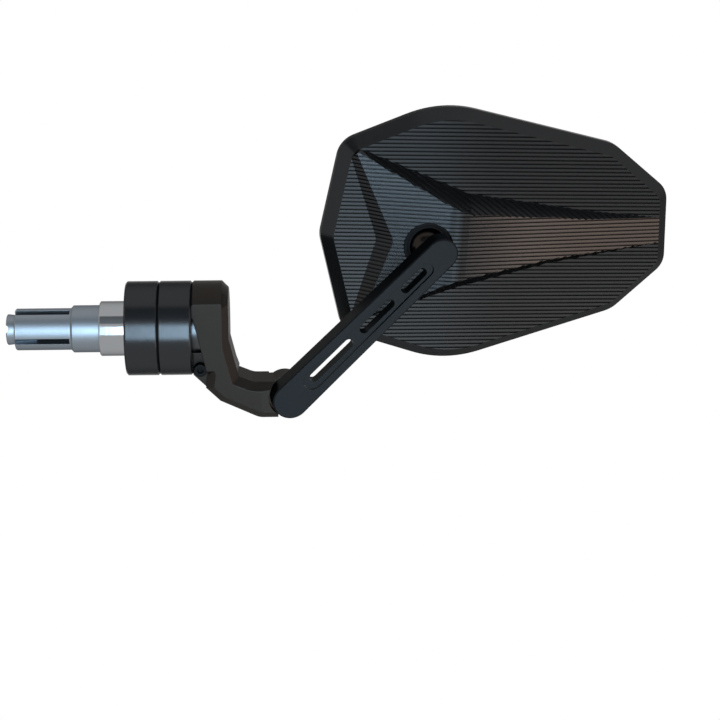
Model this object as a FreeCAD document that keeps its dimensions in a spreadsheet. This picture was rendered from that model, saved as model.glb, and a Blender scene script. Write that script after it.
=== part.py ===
import FreeCAD, Part
import math
import os
import Sketcher
from FreeCAD import Placement, Rotation, Vector

# Bar end mirror for a motorcycle handlebar, in millimetres.
# The bar's axis is X, outboard along +X. +Z is up and -Y is forward, so the glass looks towards +Y.
# The origin is on the bar's axis, in the plane where the inner spacer ring meets the end of the bar.

doc = FreeCAD.newDocument("bar_end_mirror")
sheet = doc.addObject("Spreadsheet::Sheet", "sizes")

SIZES = (
    # bar plug
    ("ring_diameter", 31.8),
    ("inner_ring_length", 11.1),
    ("outer_ring_length", 11.1),
    ("ring_edge", 0.55),
    ("adapter_diameter", 18.5),
    ("adapter_length", 8.8),
    ("adapter_edge", 0.35),
    ("shoulder_diameter", 15.9),
    ("shoulder_length", 18.3),
    ("shoulder_edge", 0.6),
    ("sleeve_diameter", 14.05),
    ("sleeve_grip_length", 18.8),
    ("sleeve_bore", 7.0),
    ("sleeve_slot_width", 2.2),
    ("sleeve_slot_turn", 17.5),
    ("slot_end_wall", 0.5),
    ("cone_head_diameter", 10.4),
    ("cone_mouth_diameter", 9.8),
    ("cone_tip_diameter", 8.7),
    ("cone_length", 7.2),
    ("cone_head_length", 2.9),
    ("cone_notch_width", 2.7),
    ("cone_notch_depth", 0.9),
    ("cone_notch_radius", 1.2),
    ("cone_notch_turn", 21.0),
    ("bolt_end_inset", 1.3),
    ("cone_seat_clearance", 0.05),
    ("slide_clearance", 0.03),
    ("bolt_diameter", 6.0),
    ("bolt_hole_clearance", 0.2),
    ("bolt_head_diameter", 10.0),
    ("bolt_head_height", 6.0),
    ("bolt_head_edge", 0.5),
    ("bolt_key", 5.0),
    ("bolt_key_depth", 3.0),
    ("washer_thickness", 1.0),
    ("washer_rim", 0.1),
    # hub and elbow
    ("hub_diameter", 18.5),
    ("hub_length", 9.6),
    ("hub_floor", 2.2),
    ("hub_edge", 0.5),
    ("head_pocket_clearance", 0.3),
    ("swivel_clearance", 0.05),
    ("base_length", 12.2),
    ("base_edge", 2.2),
    ("bar_front", 10.6),
    ("bar_depth", 15.0),
    ("leg_height", 12.9),
    ("leg_sink", 1.1),
    ("leg_stop", 4.5),
    ("leg_turn_start", 45.2),
    ("leg_turn", 6.0),
    ("leg_edge", 2.6),
    ("neck_top_left", 22.6),
    ("neck_top_right", 32.4),
    ("neck_top", 6.9),
    ("neck_low_left", 27.2),
    ("neck_low", 13.5),
    ("heel_left", 26.4),
    ("heel_start", 18.7),
    ("heel_turn", 31.2),
    ("heel_turn_drop", 23.5),
    ("inner_corner", 37.5),
    ("inner_corner_drop", 14.7),
    ("leg_top_start", 42.4),
    ("leg_bottom_start", 44.2),
    ("bend_radius", 6.0),
    ("window_floor", 6.5),
    ("pinch_screw_diameter", 2.5),
    ("pinch_head_diameter", 4.5),
    ("pinch_head_height", 2.5),
    ("pinch_screw_length", 12.0),
    ("pinch_offset", 24.65),
    ("pinch_drop", 12.2),
    ("pinch_key", 2.0),
    ("screw_edge", 0.2),
    ("pinch_key_depth", 1.4),
    ("pinch_slit", 1.0),
    ("pinch_ear", 3.1),
    ("pinch_slit_length", 8.0),
    ("spanner_notch_width", 8.6),
    ("spanner_notch_depth", 1.6),
    ("spanner_notch_length", 2.0),
    ("spanner_notch_turn", 52.0),
    # arm
    ("pivot_outboard", 55.14),
    ("pivot_forward", 13.0),
    ("pivot_drop", 22.1),
    ("arm_yaw", 10.38),
    ("arm_rise", 43.0),
    ("arm_thickness", 7.3),
    ("arm_pivot_width", 12.4),
    ("arm_tip_width", 10.7),
    ("arm_length", 70.7),
    ("arm_edge", 0.45),
    ("pocket_start", 6.9),
    ("pocket_stop", 5.0),
    ("pocket_start_width", 6.5),
    ("pocket_end_width", 4.9),
    ("pocket_depth", 1.3),
    ("slot_width", 3.2),
    ("first_slot_start", 9.6),
    ("first_slot_end", 29.0),
    ("second_slot_start", 33.0),
    ("second_slot_end", 48.2),
    ("third_slot_length", 10.9),
    ("third_slot_stop", 7.5),
    ("pivot_gap", 0.7),
    ("lug_thickness", 6.6),
    ("lug_diameter", 12.9),
    ("friction_washer_thickness", 0.6),
    ("friction_washer_diameter", 11.6),
    ("face_gap", 0.05),
    ("pivot_bolt_diameter", 5.0),
    ("pivot_bolt_engagement", 4.8),
    ("pivot_head_diameter", 8.6),
    ("pivot_head_height", 2.4),
    ("pivot_key", 3.0),
    ("pivot_key_depth", 1.3),
    ("spring_washer_thickness", 0.5),
    ("grub_diameter", 3.0),
    ("grub_level", 3.2),
    ("grub_key", 1.5),
    ("grub_key_depth", 1.0),
    ("stud_groove_depth", 0.3),
    ("arm_sweep_clearance", 0.8),
    # ball joint
    ("stud_inset", 2.0),
    ("stud_diameter", 6.0),
    ("stud_engagement", 5.6),
    ("stud_collar_diameter", 8.8),
    ("stud_collar_length", 1.6),
    ("stud_neck_diameter", 6.2),
    ("arm_to_socket_mouth", 6.2),
    ("ball_diameter", 12.7),
    ("ball_inset", 3.0),
    ("ball_clearance", 0.15),
    ("liner_thickness", 0.7),
    ("liner_front", 1.8),
    ("liner_back", 4.6),
    ("socket_mouth_diameter", 16.5),
    ("socket_bore_diameter", 18.8),
    ("socket_lip_level", 0.35),
    ("ring_front_level", 1.9),
    ("socket_split", 0.9),
    ("cup_shelf", 4.8),
    ("cup_hole_diameter", 11.2),
    ("cup_length", 6.9),
    ("fit_clearance", 0.05),
    ("boss_wall", 4.1),
    ("socket_plate_thickness", 1.0),
    ("plate_screw_count", 3),
    ("plate_screw_diameter", 2.0),
    ("plate_screw_head_diameter", 3.5),
    ("plate_screw_length", 4.6),
    # head
    ("head_roll", 3.9),
    ("rim_level", 4.2),
    ("rim_bevel_depth", 3.8),
    ("rim_bevel_width", 3.8),
    ("rim_wall", 2.3),
    ("rim_top_left_x", -30.3),
    ("rim_top_left_y", 33.5),
    ("rim_top_left_r", 8.9),
    ("rim_top_x", 3.9),
    ("rim_top_y", 47.7),
    ("rim_top_r", 40.0),
    ("rim_right_upper_x", 66.0),
    ("rim_right_upper_y", 33.9),
    ("rim_right_upper_r", 11.4),
    ("rim_right_top_x", 87.3),
    ("rim_right_top_y", 17.7),
    ("rim_right_top_r", 8.4),
    ("rim_right_bottom_x", 89.4),
    ("rim_right_bottom_y", -9.4),
    ("rim_right_bottom_r", 7.6),
    ("rim_right_lower_x", 71.7),
    ("rim_right_lower_y", -26.3),
    ("rim_right_lower_r", 11.0),
    ("rim_bottom_x", 12.0),
    ("rim_bottom_y", -45.5),
    ("rim_bottom_r", 40.0),
    ("rim_bottom_left_x", -25.3),
    ("rim_bottom_left_y", -33.9),
    ("rim_bottom_left_r", 8.9),
    ("rim_left_tip_x", -35.5),
    ("rim_left_tip_y", 0.8),
    ("rim_left_tip_r", 10.0),
    ("ridge_upper_left_x", -22.7),
    ("ridge_upper_left_y", 31.5),
    ("ridge_upper_knee_x", 15.0),
    ("ridge_upper_knee_y", 16.8),
    ("ridge_upper_middle_x", 57.3),
    ("ridge_upper_middle_y", 11.0),
    ("ridge_upper_right_x", 84.3),
    ("ridge_upper_right_y", 8.6),
    ("ridge_lower_left_x", -19.2),
    ("ridge_lower_left_y", -28.2),
    ("ridge_lower_knee_x", 12.0),
    ("ridge_lower_knee_y", -17.2),
    ("ridge_lower_middle_x", 45.0),
    ("ridge_lower_middle_y", -8.2),
    ("ridge_lower_right_x", 84.7),
    ("ridge_lower_right_y", -0.7),
    ("ridge_notch_x", -17.5),
    ("ridge_notch_y", 0.8),
    ("ridge_notch_upper_x", -27.3),
    ("ridge_notch_upper_y", 28.4),
    ("ridge_notch_lower_x", -23.9),
    ("ridge_notch_lower_y", -25.4),
    ("far", 120.0),
    ("crease_place", 9.8),
    ("crease_height", 9.0),
    ("crease_radius", 22.0),
    ("inboard_slope", 0.2),
    ("outboard_slope", 0.117),
    ("ridge_wall_angle", 31.8),
    ("notch_wall_angle", 50.0),
    ("notch_floor_slope", 0.04),
    ("notch_radius", 9.0),
    ("groove_pitch", 1.35),
    ("groove_width", 0.5),
    ("groove_depth", 0.45),
    ("wall_groove_turn", 35.0),
    ("skin", 2.2),
    ("ridge_skin", 3.4),
    ("rim_land", 5.6),
    ("glass_thickness", 1.8),
    ("glass_pad_thickness", 0.4),
    ("glass_pad_inset", 2.0),
    ("glass_inset", 1.4),
    ("glass_clearance", 0.15),
)

for row, (alias, value) in enumerate(SIZES, start=1):
    sheet.set(f"A{row}", alias)
    sheet.set(f"B{row}", str(value))
    sheet.setAlias(f"B{row}", alias)
doc.recompute()


def size(alias):
    return float(sheet.get(alias))


def value_of(expression):
    result = sheet.evalExpression(expression)
    return float(getattr(result, "Value", result))


# Sketches

def constrain(sketch, kind, *references, to):
    number = sketch.addConstraint(Sketcher.Constraint(kind, *references, value_of(to)))
    sketch.setExpression(f"Constraints[{number}]", to)


def place_point(sketch, geometry, position, across, along):
    constrain(sketch, "DistanceX", -1, 1, geometry, position, to=across)
    constrain(sketch, "DistanceY", -1, 1, geometry, position, to=along)


def draw_outline(sketch, corners):
    """Closed outline through corners, each (across, along) or (across, along, radius) as expressions."""
    places = [Vector(value_of(c[0]), value_of(c[1]), 0) for c in corners]
    count = len(corners)
    starts = []
    ends = []
    arcs = {}
    for i, corner in enumerate(corners):
        here = places[i]
        back = (places[i - 1] - here).normalize()
        ahead = (places[(i + 1) % count] - here).normalize()
        if len(corner) == 2:
            ends.append(here)
            starts.append(here)
            continue
        radius = value_of(corner[2])
        half = back.getAngle(ahead) / 2
        reach = radius / math.tan(half)
        ends.append(here + back * reach)
        starts.append(here + ahead * reach)
        centre = here + (back + ahead).normalize() * (radius / math.sin(half))
        convex = back.cross(ahead).z < 0
        first, last = (ends[i], starts[i]) if convex else (starts[i], ends[i])
        angles = [math.atan2(p.y - centre.y, p.x - centre.x) for p in (first, last)]
        arcs[i] = (centre, radius, angles, convex)
    lines = [sketch.addGeometry(Part.LineSegment(starts[i], ends[(i + 1) % count])) for i in range(count)]
    for i, corner in enumerate(corners):
        before = lines[i - 1]
        after = lines[i]
        if i not in arcs:
            sketch.addConstraint(Sketcher.Constraint("Coincident", before, 2, after, 1))
            place_point(sketch, after, 1, corner[0], corner[1])
            continue
        centre, radius, angles, convex = arcs[i]
        circle = Part.Circle(centre, Vector(0, 0, 1), radius)
        arc = sketch.addGeometry(Part.ArcOfCircle(circle, angles[0], angles[1]))
        first, last = (1, 2) if convex else (2, 1)
        sketch.addConstraint(Sketcher.Constraint("Tangent", before, 2, arc, first))
        sketch.addConstraint(Sketcher.Constraint("Tangent", arc, last, after, 1))
        constrain(sketch, "Radius", arc, to=corner[2])
        point = sketch.addGeometry(Part.Point(places[i]), True)
        place_point(sketch, point, 1, corner[0], corner[1])
        sketch.addConstraint(Sketcher.Constraint("PointOnObject", point, 1, before))
        sketch.addConstraint(Sketcher.Constraint("PointOnObject", point, 1, after))


def draw_slot(sketch, start, end, start_radius, end_radius):
    """Slot along the sketch's first axis between two arc centres, with a radius at each end."""
    x0, x1, r0, r1 = (value_of(e) for e in (start, end, start_radius, end_radius))
    lean = math.asin((r0 - r1) / (x1 - x0))
    up = Vector(math.sin(lean), math.cos(lean), 0)
    down = Vector(up.x, -up.y, 0)
    a = Vector(x0, 0, 0)
    b = Vector(x1, 0, 0)
    axis = Vector(0, 0, 1)
    quarter = math.pi / 2
    left = sketch.addGeometry(Part.ArcOfCircle(Part.Circle(a, axis, r0), quarter - lean, 3 * quarter + lean))
    right = sketch.addGeometry(Part.ArcOfCircle(Part.Circle(b, axis, r1), lean - quarter, quarter - lean))
    top = sketch.addGeometry(Part.LineSegment(b + up * r1, a + up * r0))
    bottom = sketch.addGeometry(Part.LineSegment(a + down * r0, b + down * r1))
    for first, first_end, second, second_end in ((right, 2, top, 1), (top, 2, left, 1),
                                                 (left, 2, bottom, 1), (bottom, 2, right, 1)):
        sketch.addConstraint(Sketcher.Constraint("Tangent", first, first_end, second, second_end))
    for arc, place, radius in ((left, start, start_radius), (right, end, end_radius)):
        sketch.addConstraint(Sketcher.Constraint("PointOnObject", arc, 3, -1))
        constrain(sketch, "DistanceX", -1, 1, arc, 3, to=place)
        constrain(sketch, "Radius", arc, to=radius)


def origin_feature(body, role):
    return next(f for f in body.Origin.OriginFeatures if f.Role == role)


def body_sketch(body, role, name, offset=None):
    sketch = body.newObject("Sketcher::SketchObject", name)
    sketch.AttachmentSupport = (origin_feature(body, role), [""])
    sketch.MapMode = "FlatFace"
    if offset:
        sketch.AttachmentOffset = offset
    return sketch


# Features

def turned(label, profile):
    """Body turned about its own X axis from a profile of (place along X, radius) corners."""
    body = doc.addObject("PartDesign::Body", label)
    sketch = body_sketch(body, "XZ_Plane", label + "_profile")
    draw_outline(sketch, profile)
    spin = body.newObject("PartDesign::Revolution", label + "_turned")
    spin.Profile = sketch
    spin.ReferenceAxis = (sketch, ["H_Axis"])
    spin.Angle = 360
    sketch.Visibility = False
    body.Tip = spin
    return body


def ring_profile(start, end, bore, outer, edge):
    """Corners of a plain ring with a bevel on both outer edges."""
    return ((start, bore), (start, f"{outer} - {edge}"), (f"{start} + {edge}", outer),
            (f"{end} - {edge}", outer), (end, f"{outer} - {edge}"), (end, bore))


def key_socket(body, place, depth, across_flats, inwards):
    """Hexagonal key socket cut from the place along X, towards +X or -X."""
    half = f"{across_flats} / 2"
    corner = f"{across_flats} / sqrt(3)"
    side = f"{across_flats} / sqrt(12)"
    sketch = body_sketch(body, "YZ_Plane", body.Name + "_key")
    sketch.setExpression(".AttachmentOffset.Base.z", place)
    draw_outline(sketch, ((corner, ZERO), (side, half), (f"-{side}", half),
                          (f"-{corner}", ZERO), (f"-{side}", f"-{half}"), (side, f"-{half}")))
    socket = body.newObject("PartDesign::Pocket", body.Name + "_socket")
    socket.Profile = sketch
    socket.setExpression("Length", depth)
    socket.Reversed = inwards > 0
    body.Tip = socket
    return body


def cylinder(name, radius, height, place=None):
    part = doc.addObject("Part::Cylinder", name)
    part.setExpression("Radius", radius)
    part.setExpression("Height", height)
    part.Placement = place or Placement()
    return part


def extruded(name, corners, start, height, frame=None):
    """Prism over a plan outline, from start upwards."""
    sketch = doc.addObject("Sketcher::SketchObject", name + "_outline")
    draw_outline(sketch, corners)
    prism = doc.addObject("Part::Extrusion", name)
    prism.Base = sketch
    prism.DirMode = "Custom"
    prism.Dir = Vector(0, 0, 1)
    prism.Solid = True
    prism.setExpression("LengthFwd", height)
    prism.Placement = (frame or Placement()) * Placement(Vector(0, 0, value_of(start)), Rotation())
    return prism


def joined(name, *parts):
    fuse = doc.addObject("Part::MultiFuse", name)
    fuse.Shapes = list(parts)
    return fuse


def common(name, first, second):
    both = doc.addObject("Part::Common", name)
    both.Base = first
    both.Tool = second
    return both


def cut(name, base, *tools):
    """Base with every tool taken away."""
    tool = tools[0] if len(tools) == 1 else joined(name + "_tools", *tools)
    result = doc.addObject("Part::Cut", name)
    result.Base = base
    result.Tool = tool
    return result


NODES = []


def node(part, label, place=None):
    part.Label = label
    if place:
        part.Placement = place * part.Placement
    NODES.append(part)
    return part


# Frames

ALONG_X = Rotation(Vector(0, 1, 0), 90)
SIDE_VIEW = Placement(Vector(), Rotation(Vector(1, 0, 0), 90))

yaw = math.radians(size("arm_yaw"))
outwards = Vector(math.cos(yaw), math.sin(yaw), 0)
forwards = Vector(math.sin(yaw), -math.cos(yaw), 0)
up = Vector(0, 0, 1)
pivot_front = Vector(size("pivot_outboard"), -size("pivot_forward"), -size("pivot_drop"))
# The pivot's frame lies on the arm's rear face: X outboard, Y up and Z forward, along the pivot's axis.
pivot_frame = Placement(pivot_front - forwards * size("arm_thickness"), Rotation(outwards, up, forwards, "XYZ"))
arm_frame = pivot_frame * Placement(Vector(), Rotation(Vector(0, 0, 1), size("arm_rise")))
stud_frame = arm_frame * Placement(Vector(size("arm_length") - size("stud_inset"), 0, 0), Rotation())
ball_depth = size("arm_to_socket_mouth") + size("ball_inset")
ball_centre = stud_frame.multVec(Vector(0, 0, -ball_depth))
# The head's frame has its origin at the ball's centre, X along the grooves and Z towards the arm.
head_frame = Placement(ball_centre, Rotation(outwards, up, forwards, "XYZ")) * Placement(
    Vector(), Rotation(Vector(0, 0, 1), -size("head_roll")))
# The pinch screw's seat lies on the window's floor, with the screw's head towards the front.
pinch_frame = Placement(Vector(size("pinch_offset"), -size("window_floor"), -size("pinch_drop")),
                        Rotation(Vector(0, 0, 1), -90))


# Bar plug

RING = "sizes.ring_diameter / 2"
BOLT = "sizes.bolt_diameter / 2"
BOLT_HOLE = f"({BOLT} + sizes.bolt_hole_clearance)"
RINGS_END = "(sizes.inner_ring_length + sizes.outer_ring_length)"
SLEEVE_END = "(0 - sizes.shoulder_length - sizes.sleeve_grip_length)"
CONE_END = f"({SLEEVE_END} - sizes.cone_head_length)"
BOLT_END = f"({CONE_END} + sizes.bolt_end_inset)"
CONE_TIP = f"({SLEEVE_END} + sizes.cone_length)"
HEAD_SEAT = f"({RINGS_END} + sizes.hub_floor + sizes.washer_thickness)"
HUB_END = f"({RINGS_END} + sizes.hub_length)"
ZERO = "0"


def make_expander_cone():
    head = "sizes.cone_head_diameter / 2"
    edge = "sizes.adapter_edge"
    bore = f"({BOLT} + sizes.slide_clearance)"
    cone = turned("expander_cone", (
        (CONE_END, bore), (CONE_END, f"{head} - {edge}"), (f"{CONE_END} + {edge}", head),
        (SLEEVE_END, "sizes.cone_mouth_diameter / 2"), (CONE_TIP, "sizes.cone_tip_diameter / 2"), (CONE_TIP, bore)))
    half = "sizes.cone_notch_width / 2"
    floor = f"{CONE_END} + sizes.cone_notch_depth"
    past_end = f"{CONE_END} - 1"
    sketch = body_sketch(cone, "XZ_Plane", "cone_notch_outline")
    draw_outline(sketch, (
        (past_end, f"-{half}"), (floor, f"-{half}", "sizes.cone_notch_radius"),
        (floor, half, "sizes.cone_notch_radius"), (past_end, half)))
    notch = cone.newObject("PartDesign::Pocket", "cone_notch")
    notch.Profile = sketch
    notch.Type = 1
    notch.Midplane = True
    cone.Tip = notch
    return node(cone, "expander_cone", Placement(Vector(), Rotation(Vector(1, 0, 0), -size("cone_notch_turn"))))


def make_expander_sleeve():
    grip = "sizes.sleeve_diameter / 2"
    shoulder = "sizes.shoulder_diameter / 2"
    shoulder_start = "(0 - sizes.shoulder_length)"
    seat = "sizes.cone_seat_clearance"
    edge = "sizes.adapter_edge"
    step = "sizes.shoulder_edge"
    bore = "sizes.sleeve_bore / 2"
    sleeve = turned("expander_sleeve", (
        (ZERO, bore), (CONE_TIP, bore), (CONE_TIP, f"sizes.cone_tip_diameter / 2 + {seat}"),
        (SLEEVE_END, f"sizes.cone_mouth_diameter / 2 + {seat}"), (SLEEVE_END, f"{grip} - {edge}"),
        (f"{SLEEVE_END} + {edge}", grip), (shoulder_start, grip), (shoulder_start, f"{shoulder} - {step}"),
        (f"{shoulder_start} + {step}", shoulder), (ZERO, shoulder)))
    slot_end = f"{shoulder_start} - sizes.slot_end_wall"
    half = "sizes.sleeve_slot_width / 2"
    sketch = body_sketch(sleeve, "XY_Plane", "sleeve_slot_outline")
    past_end = f"{SLEEVE_END} - 1"
    draw_outline(sketch, ((past_end, f"-{half}"), (slot_end, f"-{half}"), (slot_end, half), (past_end, half)))
    slot = sleeve.newObject("PartDesign::Pocket", "sleeve_slot")
    slot.Profile = sketch
    slot.Type = 1
    slot.Midplane = True
    doc.recompute()
    pattern = sleeve.newObject("PartDesign::PolarPattern", "sleeve_slots")
    pattern.Originals = [slot]
    pattern.Axis = (origin_feature(sleeve, "X_Axis"), [""])
    pattern.Angle = 180
    pattern.Occurrences = 2
    sleeve.Tip = pattern
    turn = Placement(Vector(), Rotation(Vector(1, 0, 0), size("sleeve_slot_turn")))
    return node(sleeve, "expander_sleeve", turn)


def make_rings():
    ring_bore = BOLT_HOLE
    edge = "sizes.ring_edge"
    inner_end = "sizes.inner_ring_length"
    adapter_bore = "sizes.shoulder_diameter / 2 + sizes.slide_clearance"
    adapter_start = "(0 - sizes.adapter_length)"
    adapter = "sizes.adapter_diameter / 2"
    node(turned("adapter_ring", (
        (adapter_start, adapter_bore), (adapter_start, f"{adapter} - sizes.adapter_edge"),
        (f"{adapter_start} + sizes.adapter_edge", adapter), (ZERO, adapter), (ZERO, adapter_bore))), "adapter_ring")
    node(turned("inner_spacer_ring", ring_profile(ZERO, inner_end, ring_bore, RING, edge)), "inner_spacer_ring")
    node(turned("outer_spacer_ring", ring_profile(inner_end, RINGS_END, ring_bore, RING, edge)),
         "outer_spacer_ring")


def make_hub():
    hub = "sizes.hub_diameter / 2"
    edge = "sizes.hub_edge"
    pocket = "sizes.bolt_head_diameter / 2 + sizes.head_pocket_clearance"
    pocket_floor = f"{RINGS_END} + sizes.hub_floor"
    node(turned("swivel_hub", ((RINGS_END, BOLT_HOLE), (RINGS_END, hub), (f"{HUB_END} - {edge}", hub),
                               (HUB_END, f"{hub} - {edge}"), (HUB_END, pocket), (pocket_floor, pocket),
                               (pocket_floor, BOLT_HOLE))), "swivel_hub")


def make_clamp_bolt():
    head = "sizes.bolt_head_diameter / 2"
    head_end = f"({HEAD_SEAT} + sizes.bolt_head_height)"
    edge = "sizes.bolt_head_edge"
    axis = ZERO
    bolt = turned("clamp_bolt", ((BOLT_END, axis), (BOLT_END, f"{BOLT} - {edge}"), (f"{BOLT_END} + {edge}", BOLT),
                                 (HEAD_SEAT, BOLT), (HEAD_SEAT, head), (f"{head_end} - {edge}", head),
                                 (head_end, f"{head} - {edge}"), (head_end, axis)))
    doc.recompute()
    key_socket(bolt, head_end, "sizes.bolt_key_depth", "sizes.bolt_key", -1)
    node(bolt, "clamp_bolt")
    floor = f"({HEAD_SEAT} - sizes.washer_thickness)"
    node(turned("clamp_washer", ((floor, BOLT_HOLE), (floor, f"{head} + sizes.washer_rim"),
                                 (HEAD_SEAT, f"{head} + sizes.washer_rim"), (HEAD_SEAT, BOLT_HOLE))), "clamp_washer")


# Elbow

ELBOW_START = f"({RINGS_END} + sizes.face_gap)"
BASE_END = f"({RINGS_END} + sizes.base_length)"
LEG_TOP = "(0 - sizes.pivot_drop - sizes.leg_sink + sizes.leg_height / 2)"
LEG_BOTTOM = "(0 - sizes.pivot_drop - sizes.leg_sink - sizes.leg_height / 2)"
LEG_END = "(sizes.pivot_outboard - sizes.leg_stop)"
HEEL_CORNER = f"(0 - sizes.heel_turn_drop + sizes.heel_turn - {ELBOW_START})"


def make_bar():
    """The slanted neck and the leg, bevelled along their front and rear edges."""
    bar = doc.addObject("PartDesign::Body", "elbow_bar")
    sketch = body_sketch(bar, "XZ_Plane", "elbow_bar_outline")
    sketch.setExpression(".AttachmentOffset.Base.z", "sizes.bar_front - sizes.bar_depth")
    draw_outline(sketch, (
        ("sizes.neck_top_left", "sizes.neck_top"),
        ("sizes.neck_low_left", "0 - sizes.neck_low"),
        ("sizes.heel_left", "0 - sizes.heel_start"),
        ("sizes.heel_turn", "0 - sizes.heel_turn_drop"),
        ("sizes.leg_bottom_start", LEG_BOTTOM, "sizes.bend_radius"),
        (LEG_END, LEG_BOTTOM),
        (LEG_END, LEG_TOP),
        ("sizes.leg_top_start", LEG_TOP, "sizes.bend_radius"),
        ("sizes.inner_corner", "0 - sizes.inner_corner_drop"),
        ("sizes.neck_top_right", "sizes.neck_top")))
    pad = bar.newObject("PartDesign::Pad", "elbow_bar_pad")
    pad.Profile = sketch
    pad.setExpression("Length", "sizes.bar_depth")
    bar.Tip = pad
    doc.recompute()
    rear = size("bar_depth") - size("bar_front")
    edges = []
    for number, edge in enumerate(pad.Shape.Edges, start=1):
        middle = edge.CenterOfMass
        on_face = min(abs(middle.y + size("bar_front")), abs(middle.y - rear)) < 0.01
        at_end = max(middle.z - size("neck_top"), middle.x - value_of(LEG_END)) > -0.01
        if on_face and not at_end:
            edges.append(f"Edge{number}")
    bevel = bar.newObject("PartDesign::Chamfer", "elbow_bar_bevel")
    bevel.Base = (pad, edges)
    bevel.setExpression("Size", "sizes.leg_edge")
    bar.Tip = bevel
    return bar


def pivot_cylinder(name, radius, start, height):
    """Cylinder about the pivot's axis, from its start forwards."""
    place = pivot_frame * Placement(Vector(0, 0, value_of(start)), Rotation())
    return cylinder(name, radius, height, place)


def space_before(name, start, turn):
    """Block on the elbow's front plane from a place along X, with its rear face turned back by the angle."""
    block = doc.addObject("Part::Box", name)
    block.setExpression("Length", "sizes.bar_depth")
    block.setExpression("Width", "sizes.bar_depth")
    block.setExpression("Height", "2 * sizes.ring_diameter")
    corner = Vector(value_of(start), -size("bar_front"), -size("ring_diameter"))
    block.Placement = Placement(corner, Rotation(Vector(0, 0, 1), turn)) * Placement(
        Vector(0, -size("bar_depth"), 0), Rotation())
    return block


def make_base():
    """Round base with a flat front, bevelled along its outboard edge."""
    edge_start = f"{BASE_END} - sizes.base_edge"
    disc = turned("elbow_disc", (
        (ELBOW_START, ZERO), (ELBOW_START, f"{RING} - sizes.ring_edge"),
        (f"{ELBOW_START} + sizes.ring_edge", RING), (edge_start, RING),
        (BASE_END, f"{RING} - sizes.base_edge"), (BASE_END, ZERO)))
    return cut("elbow_base", disc, space_before("base_front", f"{ELBOW_START} - 1", 0),
               space_before("base_edge_space", edge_start, 45))


def make_elbow():
    base = make_base()
    web_start = "(sizes.bar_front - sizes.bar_depth)"
    web = extruded("elbow_web", (
        (ELBOW_START, ZERO), (ELBOW_START, HEEL_CORNER), ("sizes.heel_turn", "0 - sizes.heel_turn_drop"),
        ("sizes.inner_corner", "0 - sizes.inner_corner_drop"), ("sizes.neck_top_right", ZERO)),
        web_start, f"sizes.window_floor - {web_start}", frame=SIDE_VIEW)
    lug_rear = "(0 - sizes.pivot_gap - sizes.lug_thickness)"
    lug = pivot_cylinder("lug", "sizes.lug_diameter / 2", lug_rear, "sizes.lug_thickness")
    reach = "2 * sizes.bar_depth"
    sweep = pivot_cylinder("arm_sweep", "sizes.arm_pivot_width / 2 + sizes.arm_sweep_clearance",
                           "0 - sizes.pivot_gap", reach)
    lug_back = pivot_cylinder("lug_back", "sizes.lug_diameter / 2 + sizes.arm_sweep_clearance",
                              f"{lug_rear} - {reach}", reach)
    end = space_before("leg_end_space", "sizes.leg_turn_start", size("leg_turn"))
    bar = cut("elbow_leg", make_bar(), sweep, lug_back, end)
    solid = joined("elbow_solid", base, bar, web, lug)
    bore = cylinder("hub_bore", "sizes.hub_diameter / 2 + sizes.swivel_clearance",
                    "sizes.hub_length + 2 * sizes.head_pocket_clearance",
                    Placement(Vector(value_of(f"{RINGS_END} - sizes.head_pocket_clearance"), 0, 0), ALONG_X))
    pivot_hole = pivot_cylinder("pivot_hole", "sizes.pivot_bolt_diameter / 2 + sizes.slide_clearance",
                                f"{lug_rear} - 1", "sizes.lug_thickness + 2")
    return node(cut("elbow", solid, bore, pivot_hole, *make_pinch_cuts(), make_spanner_notch()), "elbow")


def make_pinch_cuts():
    """The corner cut away round the pinch screw, the slit that it closes, and its hole."""
    outside = f"({ELBOW_START} - 1)"
    depth = "2 * sizes.ring_diameter"
    window = extruded("pinch_window", (
        (outside, "sizes.neck_top"), (outside, f"0 - {depth}"), ("sizes.heel_left", f"0 - {depth}"),
        ("sizes.heel_left", "0 - sizes.heel_start"), ("sizes.neck_low_left", "0 - sizes.neck_low"),
        ("sizes.neck_top_left", "sizes.neck_top")), "sizes.window_floor", depth, frame=SIDE_VIEW)
    slit = doc.addObject("Part::Box", "pinch_slit")
    slit.setExpression("Length", "sizes.pinch_slit_length + 1")
    slit.setExpression("Width", "sizes.pinch_slit")
    slit.setExpression("Height", "sizes.ring_diameter")
    slit_rear = size("window_floor") - size("pinch_ear")
    slit.Placement = Placement(Vector(value_of(outside), -slit_rear, -size("ring_diameter")), Rotation())
    start = Placement(Vector(-size("pinch_screw_length") - 0.5, 0, 0), ALONG_X)
    hole = cylinder("pinch_hole", "sizes.pinch_screw_diameter / 2 + sizes.slide_clearance",
                    "sizes.pinch_screw_length + 1", pinch_frame * start)
    return window, slit, hole


def make_spanner_notch():
    """Flat recess in the bevel of the round base, where a hook spanner holds it."""
    notch = doc.addObject("Part::Box", "spanner_notch")
    notch.setExpression("Length", "sizes.spanner_notch_length + 1")
    notch.setExpression("Width", "sizes.spanner_notch_width")
    notch.setExpression("Height", "sizes.spanner_notch_depth + 1")
    corner = Vector(value_of(f"{BASE_END} - sizes.spanner_notch_length"), -size("spanner_notch_width") / 2,
                    value_of(f"{RING} - sizes.spanner_notch_depth"))
    turn = Placement(Vector(), Rotation(Vector(1, 0, 0), 90 - size("spanner_notch_turn")))
    notch.Placement = turn * Placement(corner, Rotation())
    return notch


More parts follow.
